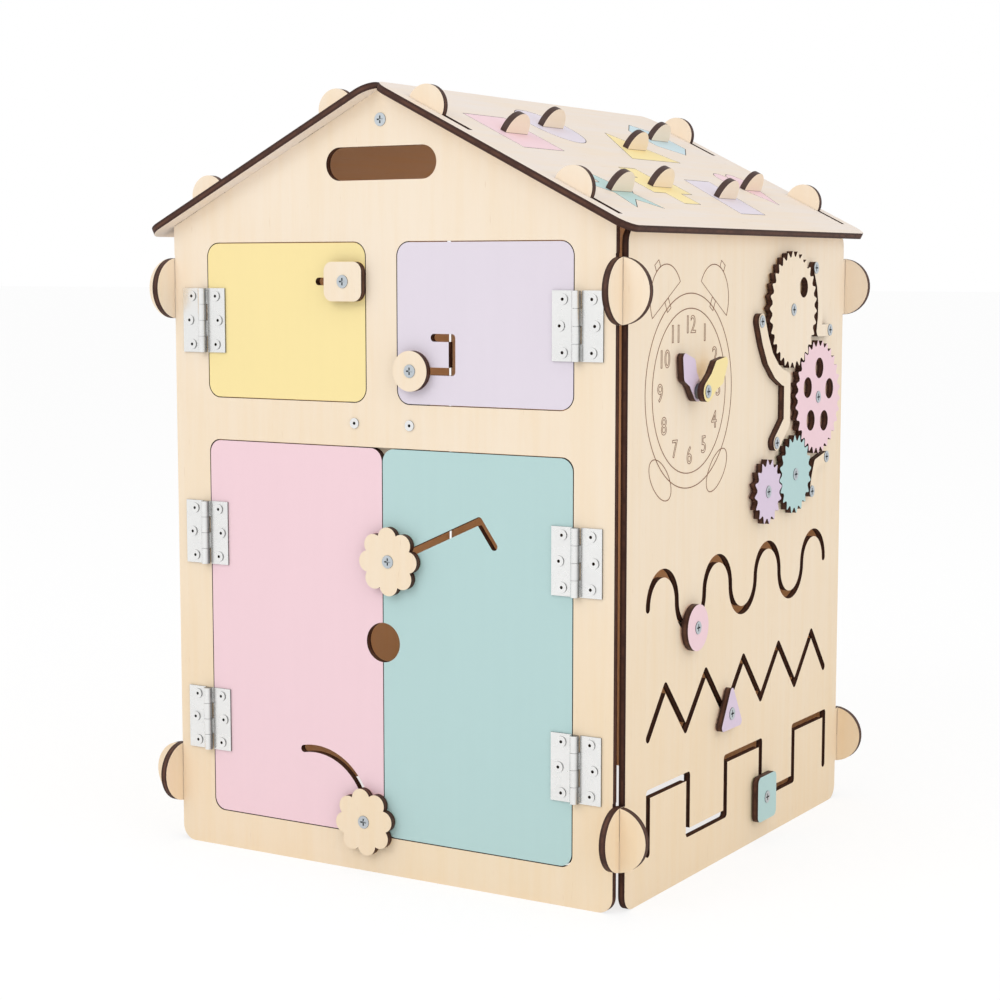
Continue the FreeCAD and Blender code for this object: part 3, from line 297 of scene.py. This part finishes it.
def burnt_edge(tree, place, normal, face_at):
    """Colour of a laser-cut edge: nearly black outside, lighter in the middle layer."""
    looks = bpy.context.scene.house_finishes
    depth = (tree.along(place, normal) - (face_at - 2 * MM)).size()
    core = 1 - depth.step(0.5 * MM, 0.95 * MM)
    smoke = tree.noise(place, 160, 3)
    return tree.mix(core * 0.65 * smoke.step(0.25, 0.7), looks.burnt, looks.burnt_core)


def finish_sheet(tree, colour, edge, on_face, streaks, rough=0.55):
    grain = streaks * 0.1
    tree.set(Base_Color=tree.mix(on_face, edge, colour), Roughness=grain + rough,
             Normal=tree.bump(streaks, *GRAIN_BUMP))
    tree.shader.inputs["Specular IOR Level"].default_value = 0.3
    return tree.material


def sheet_faces(tree, normal):
    """One on the faces that look along a normal, zero on the cut edges between them."""
    return tree.along(tree.facing(), normal).size().step(0.55, 0.8)


def birch_sheet(name, normal, face_at, grain, light=None):
    tree = Tree(name)
    place = tree.place()
    on_face = sheet_faces(tree, normal)
    colour, streaks = birch_face(tree, place, grain, light)
    edge = burnt_edge(tree, place, normal, face_at)
    return finish_sheet(tree, colour, edge, on_face, streaks)


def painted(tree, place, paint, grain):
    """A thin matt coat that lets a little of the grain through."""
    streaks = tree.noise(tree.stretch(place, grain_scale(grain)), 1, 4)
    clouds = tree.noise(place, 12, 2)
    darker = tuple(part * 0.93 for part in paint[:3]) + (1,)
    return tree.mix(streaks * 0.35 + clouds * 0.25, paint, darker), streaks


def painted_sheet(name, paint, normal, face_at, grain):
    tree = Tree(name)
    place = tree.place()
    on_face = sheet_faces(tree, normal)
    colour, streaks = painted(tree, place, paint, grain)
    edge = burnt_edge(tree, place, normal, face_at)
    return finish_sheet(tree, colour, edge, on_face, streaks, 0.5)


def shape_piece(name, paint):
    """A painted tile with an unpainted grip standing on it."""
    tree = Tree(name)
    place = tree.place()
    above = tree.along(place, SLOPE_NORMAL).step(ROOF_TOP + 0.15 * MM, ROOF_TOP + 0.25 * MM)
    tile, streaks = painted(tree, place, paint, ALONG)
    tile_face = sheet_faces(tree, SLOPE_NORMAL)
    grip_face = sheet_faces(tree, SLOPE_DOWN)
    wood = birch_face(tree, place, ALONG)[0]
    burnt = bpy.context.scene.house_finishes.burnt
    edge = burnt_edge(tree, place, SLOPE_NORMAL, ROOF_TOP)
    tile_colour = tree.mix(tile_face, edge, tile)
    grip_colour = tree.mix(grip_face, burnt, wood)
    tree.set(Base_Color=tree.mix(above, tile_colour, grip_colour), Roughness=streaks * 0.1 + 0.5,
             Normal=tree.bump(streaks, *GRAIN_BUMP))
    return tree.material


def plated_steel(name, colour, rough, normal):
    """Zinc plating with faint cloudy patches and fine scratches, and painted shade: faces that turn from a
    normal get a dark copy of the colour.
    """
    tree = Tree(name)
    place = tree.place()
    clouds = tree.noise(place, 90, 2)
    scratches = tree.noise(tree.stretch(place, (900, 900, 90)), 1, 2)
    darker = tuple(part * 0.9 for part in colour[:3]) + (1,)
    # Painted shade mask: one on faces along the normal, falling to zero on sides that turn away, such as
    # rivet and barrel sides.
    on_face = tree.along(tree.facing(), normal).size().step(0.1, 0.95)
    # Painted shade: a dark copy of the plating colour, put on those turned-away sides.
    painted_side_shade = tuple(part * 0.22 for part in colour[:3]) + (1,)
    tree.set(Base_Color=tree.mix(on_face, painted_side_shade, tree.mix(clouds, colour, darker)),
             Roughness=clouds * 0.1 + rough, Normal=tree.bump(scratches, *SCRATCH_BUMP))
    tree.shader.inputs["Metallic"].default_value = 0.9
    return tree.material


def scorched(name):
    """The dark line of a laser engraving."""
    tree = Tree(name)
    smoke = tree.noise(tree.place(), 300, 3)
    tree.set(Base_Color=tree.mix(smoke, shade(0.42, 0.27, 0.19), shade(0.60, 0.43, 0.32)),
             Roughness=smoke * 0.1 + 0.7)
    return tree.material


def dress(material, *nodes):
    """Put one material in every slot of the named nodes."""
    for node in nodes:
        piece = bpy.data.objects[node]
        if not piece.material_slots:
            piece.data.materials.append(material)
        for slot in piece.material_slots:
            slot.material = material


def face_of(node, normal):
    """How far out along a normal a node reaches."""
    low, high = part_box(node)
    return max(low.dot(normal), high.dot(normal))


# Engraved lines

def clear_selection():
    bpy.ops.object.select_all(action="DESELECT")


def keep(piece, name, material, body):
    """Apply the piece's place, then name, finish and attach it."""
    clear_selection()
    piece.select_set(True)
    bpy.context.view_layer.objects.active = piece
    bpy.ops.object.transform_apply(location=True, rotation=True, scale=True)
    piece.name = piece.data.name = name
    piece.data.materials.clear()
    piece.data.materials.append(material)
    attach(piece, body)
    return piece


def joined(pieces):
    clear_selection()
    for piece in pieces:
        piece.select_set(True)
    bpy.context.view_layer.objects.active = pieces[0]
    bpy.ops.object.join()
    return bpy.context.object


def engraved_line(points, width):
    """A closed line of the given width through points of the right wall."""
    clear_selection()
    bpy.ops.mesh.primitive_circle_add(vertices=len(points), radius=1, fill_type="NOTHING")
    line = bpy.context.object
    for vertex, (across, up) in zip(line.data.vertices, points):
        vertex.co = (WALL_FACE, across, up)
    bpy.ops.object.convert(target="CURVE")
    line.data.bevel_depth = width
    line.data.bevel_resolution = 1
    bpy.ops.object.convert(target="MESH")
    return bpy.context.object


def leaning(middle, lean, out, beside):
    """The point that lies so far out along a leaning line, and beside it."""
    return (middle[0] + out * cos(lean) - beside * sin(lean),
            middle[1] + out * sin(lean) + beside * cos(lean))


def clock_middle():
    low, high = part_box("clock_screw")
    return (low.y + high.y) / 2, (low.z + high.z) / 2


class HOUSE_OT_rings(bpy.types.Operator):
    """Engrave the case and the dial of the clock"""
    bl_idname = "house.rings"
    bl_label = "Clock rings"

    def execute(self, context):
        sizes = context.scene.house_engraving
        across, up = clock_middle()
        rings = []
        for radius in (sizes.outer_ring, sizes.inner_ring):
            clear_selection()
            bpy.ops.mesh.primitive_torus_add(
                major_radius=radius, minor_radius=sizes.line, major_segments=128, minor_segments=8,
                location=(WALL_FACE, across, up), rotation=(0, pi / 2, 0))
            rings.append(bpy.context.object)
        keep(joined(rings), "clock_rings", scorched("Scorched rings"), "house")
        return {"FINISHED"}


class HOUSE_OT_numerals(bpy.types.Operator):
    """Engrave the twelve hours in outline"""
    bl_idname = "house.numerals"
    bl_label = "Clock numerals"

    def execute(self, context):
        sizes = context.scene.house_engraving
        across, up = clock_middle()
        hours = []
        for hour in range(1, 13):
            angle = pi / 2 - hour * pi / 6
            reach = sizes.numeral_ring
            place = (WALL_FACE, across + reach * cos(angle), up + reach * sin(angle))
            clear_selection()
            bpy.ops.object.text_add(location=place, rotation=(pi / 2, 0, pi / 2))
            text = bpy.context.object
            text.data.body = str(hour)
            text.data.size = sizes.numeral_size
            text.data.align_x = "CENTER"
            text.data.align_y = "CENTER"
            text.data.fill_mode = "NONE"
            text.data.bevel_depth = sizes.line * 0.8
            text.data.bevel_resolution = 1
            text.data.resolution_u = 6
            bpy.ops.object.convert(target="MESH")
            hours.append(bpy.context.object)
        keep(joined(hours), "clock_numerals", scorched("Scorched numerals"), "house")
        return {"FINISHED"}


class HOUSE_OT_bells(bpy.types.Operator):
    """Engrave the two bells with their stems and buttons"""
    bl_idname = "house.bells"
    bl_label = "Clock bells"

    def execute(self, context):
        sizes = context.scene.house_engraving
        across, up = clock_middle()
        lines = []
        for side in (-1, 1):
            middle = (across + side * sizes.bell_reach[0], up + sizes.bell_reach[1])
            lean = pi / 2 - side * sizes.bell_lean
            dome = []
            for step in range(ARC_STEPS + 1):
                angle = pi / 2 - pi * step / ARC_STEPS
                dome.append(leaning(middle, lean, sizes.bell * cos(angle), sizes.bell * sin(angle)))
            lines.append(engraved_line(dome, sizes.line))
            for reach, half_wide, half_tall in (sizes.stem, sizes.button):
                corners = [leaning(middle, lean, reach + tall * half_tall, wide * half_wide)
                           for wide, tall in ((-1, -1), (1, -1), (1, 1), (-1, 1))]
                lines.append(engraved_line(corners, sizes.line))
        keep(joined(lines), "clock_bells", scorched("Scorched bells"), "house")
        return {"FINISHED"}


class HOUSE_OT_feet(bpy.types.Operator):
    """Engrave the two feet of the clock"""
    bl_idname = "house.feet"
    bl_label = "Clock feet"

    def execute(self, context):
        sizes = context.scene.house_engraving
        across, up = clock_middle()
        lines = []
        for side in (-1, 1):
            middle = (across + side * sizes.foot_reach[0], up + sizes.foot_reach[1])
            lean = side * sizes.foot_lean
            oval = []
            for step in range(2 * ARC_STEPS):
                angle = pi * step / ARC_STEPS
                oval.append(leaning(middle, lean, sizes.foot[0] * cos(angle), sizes.foot[1] * sin(angle)))
            lines.append(engraved_line(oval, sizes.line))
        keep(joined(lines), "clock_feet", scorched("Scorched feet"), "house")
        return {"FINISHED"}


class HOUSE_OT_shell(bpy.types.Operator):
    """Finish walls, roof, stop plate and guard strips in birch"""
    bl_idname = "house.shell"
    bl_label = "Shell"

    def execute(self, context):
        dress(birch_sheet("Birch front", FRONT_NORMAL, face_of("pink_door", FRONT_NORMAL), UP), "front_wall")
        dress(birch_sheet("Birch back", -FRONT_NORMAL, face_of("pink_door", FRONT_NORMAL), UP), "back_wall")
        dress(birch_sheet("Birch right", RIGHT_NORMAL, WALL_FACE, UP), "right_wall")
        dress(birch_sheet("Birch left", -RIGHT_NORMAL, WALL_FACE, UP), "left_wall")
        pale = context.scene.house_finishes.birch_pale
        right_slope = birch_sheet("Birch right slope", SLOPE_NORMAL, ROOF_TOP, ALONG, pale)
        dress(right_slope, "right_roof", "roof_backing")
        dress(birch_sheet("Birch left slope", LEFT_NORMAL, ROOF_TOP, ALONG, pale), "left_roof")
        stop_face = face_of("inner_door_stop", FRONT_NORMAL)
        dress(birch_sheet("Birch stop", FRONT_NORMAL, stop_face, RIGHT_NORMAL), "inner_door_stop")
        dress(birch_sheet("Birch guards", RIGHT_NORMAL, face_of("long_gear_guard", RIGHT_NORMAL), UP),
              "upper_gear_guard", "long_gear_guard", "lower_gear_guard")
        return {"FINISHED"}


class HOUSE_OT_doors(bpy.types.Operator):
    """Paint doors and windows and finish their latches"""
    bl_idname = "house.doors"
    bl_label = "Doors, windows and latches"

    def execute(self, context):
        looks = context.scene.house_finishes
        for node, paint in (("yellow_window", looks.yellow), ("lavender_window", looks.lavender),
                            ("pink_door", looks.pink), ("mint_door", looks.mint)):
            face_at = face_of(node, FRONT_NORMAL)
            dress(painted_sheet("Painted " + node, paint, FRONT_NORMAL, face_at, UP), node)
        face_at = face_of("square_latch_knob", FRONT_NORMAL)
        dress(birch_sheet("Birch latches", FRONT_NORMAL, face_at, UP),
              "square_latch_knob", "round_latch_knob", "upper_flower_latch", "lower_flower_latch")
        return {"FINISHED"}


class HOUSE_OT_wall_toys(bpy.types.Operator):
    """Finish gears, clock hands and maze knobs"""
    bl_idname = "house.wall_toys"
    bl_label = "Gears, hands and knobs"

    def execute(self, context):
        looks = context.scene.house_finishes
        face_at = face_of("cream_gear", RIGHT_NORMAL)
        dress(birch_sheet("Birch gear", RIGHT_NORMAL, face_at, UP), "cream_gear")
        for node, paint in (("pink_gear", looks.pink), ("mint_gear", looks.mint),
                            ("lavender_gear", looks.deep_lavender), ("lavender_hand", looks.deep_lavender),
                            ("yellow_hand", looks.yellow), ("round_maze_knob", looks.pink),
                            ("triangle_maze_knob", looks.deep_lavender), ("square_maze_knob", looks.mint)):
            face_at = face_of(node, RIGHT_NORMAL)
            dress(painted_sheet("Painted " + node, paint, RIGHT_NORMAL, face_at, UP), node)
        return {"FINISHED"}


class HOUSE_OT_roof_toys(bpy.types.Operator):
    """Paint the shape pieces of the roof"""
    bl_idname = "house.roof_toys"
    bl_label = "Shape pieces"

    def execute(self, context):
        looks = context.scene.house_finishes
        for shape, paint in (("pink_square", looks.pink), ("lavender_circle", looks.lavender),
                             ("yellow_triangle", looks.yellow), ("blue_hexagon", looks.blue),
                             ("mint_star", looks.mint), ("yellow_plus", looks.yellow),
                             ("lavender_slant", looks.lavender), ("pink_heart", looks.pink)):
            dress(shape_piece("Painted " + shape, paint), shape + "_piece")
        return {"FINISHED"}


class HOUSE_OT_metal(bpy.types.Operator):
    """Plate hinges, rivets, screws, washers and nuts"""
    bl_idname = "house.metal"
    bl_label = "Metal parts"

    def execute(self, context):
        looks = context.scene.house_finishes
        # Each plated material paints shade on faces that turn from its given normal.
        bright = plated_steel("Bright zinc", looks.zinc, 0.22, FRONT_NORMAL)
        front_screws = plated_steel("Front screw zinc", looks.screw_zinc, 0.26, FRONT_NORMAL)
        right_screws = plated_steel("Right screw zinc", looks.screw_zinc, 0.26, RIGHT_NORMAL)
        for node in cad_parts:
            if "hinge_leaves" in node or "rivets" in node:
                dress(bright, node)
            elif node.startswith("wall_") or node == "clock_screw" or "maze_knob_screw" in node:
                dress(right_screws, node)
            elif "pins" in node or "screw" in node:
                dress(front_screws, node)
        return {"FINISHED"}


class HOUSE_OT_studio(bpy.types.Operator):
    """Set up the floor, the even light, the soft lamps and the camera"""
    bl_idname = "house.studio"
    bl_label = "Studio"

    def execute(self, context):
        light = context.scene.house_studio
        self.floor(light)
        self.world(light)
        self.lamp("Key light", (-0.5, -2.0, 1.7), 1.6, light.key)
        self.lamp("Side light", (2.2, -0.6, 1.2), 1.8, light.side)
        self.lamp("Top light", (0.3, 0.1, 2.4), 1.8, light.top)
        self.glow(light.inside)
        camera = bpy.data.objects.new("Camera", bpy.data.cameras.new("Camera"))
        context.scene.collection.objects.link(camera)
        camera.location = light.camera_place
        camera.rotation_euler = (light.camera_tilt, 0, light.camera_heading)
        camera.data.lens = light.lens
        camera.data.sensor_width = 36
        context.scene.camera = camera
        context.scene.view_settings.view_transform = "Standard"
        return {"FINISHED"}

    def floor(self, light):
        """A wide pale floor that looks white to the camera and still takes a soft shadow."""
        clear_selection()
        bpy.ops.mesh.primitive_grid_add(
            x_subdivisions=4, y_subdivisions=4, size=light.floor_size, location=(0, 0, 0))
        floor = bpy.context.object
        floor.name = "Floor"
        tree = Tree("Pale floor")
        tree.set(Base_Color=shade(0.95, 0.95, 0.95), Roughness=0.9)
        white = tree.add("ShaderNodeEmission", {}, {"Color": (1, 1, 1, 1), "Strength": light.floor_glow})
        seen = tree.add("ShaderNodeLightPath", output="Is Camera Ray")
        shaded = Wire(tree, tree.shader.outputs[0])
        mixed = tree.add("ShaderNodeMixShader", {}, {0: seen * light.floor_share, 1: shaded, 2: white})
        tree.links.new(mixed.socket, tree.nodes["Material Output"].inputs["Surface"])
        floor.data.materials.append(tree.material)

    def world(self, light):
        world = bpy.data.worlds.new("Studio")
        bpy.context.scene.world = world
        world.use_nodes = True
        nodes, links = world.node_tree.nodes, world.node_tree.links
        sky = nodes["Background"]
        sky.inputs["Color"].default_value = (1, 1, 1, 1)
        sky.inputs["Strength"].default_value = light.sky
        backdrop = nodes.new("ShaderNodeBackground")
        backdrop.inputs["Color"].default_value = (1, 1, 1, 1)
        path = nodes.new("ShaderNodeLightPath")
        mixed = nodes.new("ShaderNodeMixShader")
        seen = nodes.new("ShaderNodeMath")
        seen.operation = "MAXIMUM"
        links.new(path.outputs["Is Camera Ray"], seen.inputs[0])
        links.new(path.outputs["Is Glossy Ray"], seen.inputs[1])
        links.new(seen.outputs[0], mixed.inputs[0])
        links.new(sky.outputs[0], mixed.inputs[1])
        links.new(backdrop.outputs[0], mixed.inputs[2])
        links.new(mixed.outputs[0], nodes["World Output"].inputs["Surface"])

    def lamp(self, name, place, size, power):
        lamp = bpy.data.objects.new(name, bpy.data.lights.new(name, "AREA"))
        bpy.context.scene.collection.objects.link(lamp)
        lamp.location = place
        lamp.rotation_euler = (Vector((0, 0, 0.22)) - Vector(place)).to_track_quat("-Z", "Y").to_euler()
        lamp.data.size = size
        lamp.data.energy = power

    def glow(self, power):
        """A small warm light that brings out the wood inside the house."""
        lamp = bpy.data.objects.new("Inner light", bpy.data.lights.new("Inner light", "POINT"))
        bpy.context.scene.collection.objects.link(lamp)
        lamp.location = (-0.02, 0.04, 0.22)
        lamp.data.color = (1.0, 0.62, 0.40)
        lamp.data.energy = power
        lamp.data.shadow_soft_size = 0.05


OPERATORS = (HOUSE_OT_studio, HOUSE_OT_shell, HOUSE_OT_doors, HOUSE_OT_wall_toys, HOUSE_OT_roof_toys,
             HOUSE_OT_metal, HOUSE_OT_rings, HOUSE_OT_numerals, HOUSE_OT_bells, HOUSE_OT_feet)


class HOUSE_PT_panel(bpy.types.Panel):
    """Sidebar panel with the steps of the play house"""
    bl_idname = "HOUSE_PT_panel"
    bl_label = "Play House"
    bl_space_type = "VIEW_3D"
    bl_region_type = "UI"
    bl_category = "Play House"

    def draw(self, context):
        for operator in OPERATORS:
            self.layout.operator(operator.bl_idname)


GROUPS = {"house_finishes": Finishes, "house_engraving": Engraving, "house_studio": Studio}


def register():
    for item in (*GROUPS.values(), *OPERATORS, HOUSE_PT_panel):
        bpy.utils.register_class(item)
    for name, item in GROUPS.items():
        setattr(bpy.types.Scene, name, bpy.props.PointerProperty(type=item))


def unregister():
    for name in GROUPS:
        delattr(bpy.types.Scene, name)
    for item in (HOUSE_PT_panel, *reversed(OPERATORS), *reversed(GROUPS.values())):
        bpy.utils.unregister_class(item)


def main():
    register()
    bpy.ops.house.studio()
    bpy.ops.house.shell()
    bpy.ops.house.doors()
    bpy.ops.house.wall_toys()
    bpy.ops.house.roof_toys()
    bpy.ops.house.metal()
    bpy.ops.house.rings()
    bpy.ops.house.numerals()
    bpy.ops.house.bells()
    bpy.ops.house.feet()


if __name__ == "__main__":
    main()
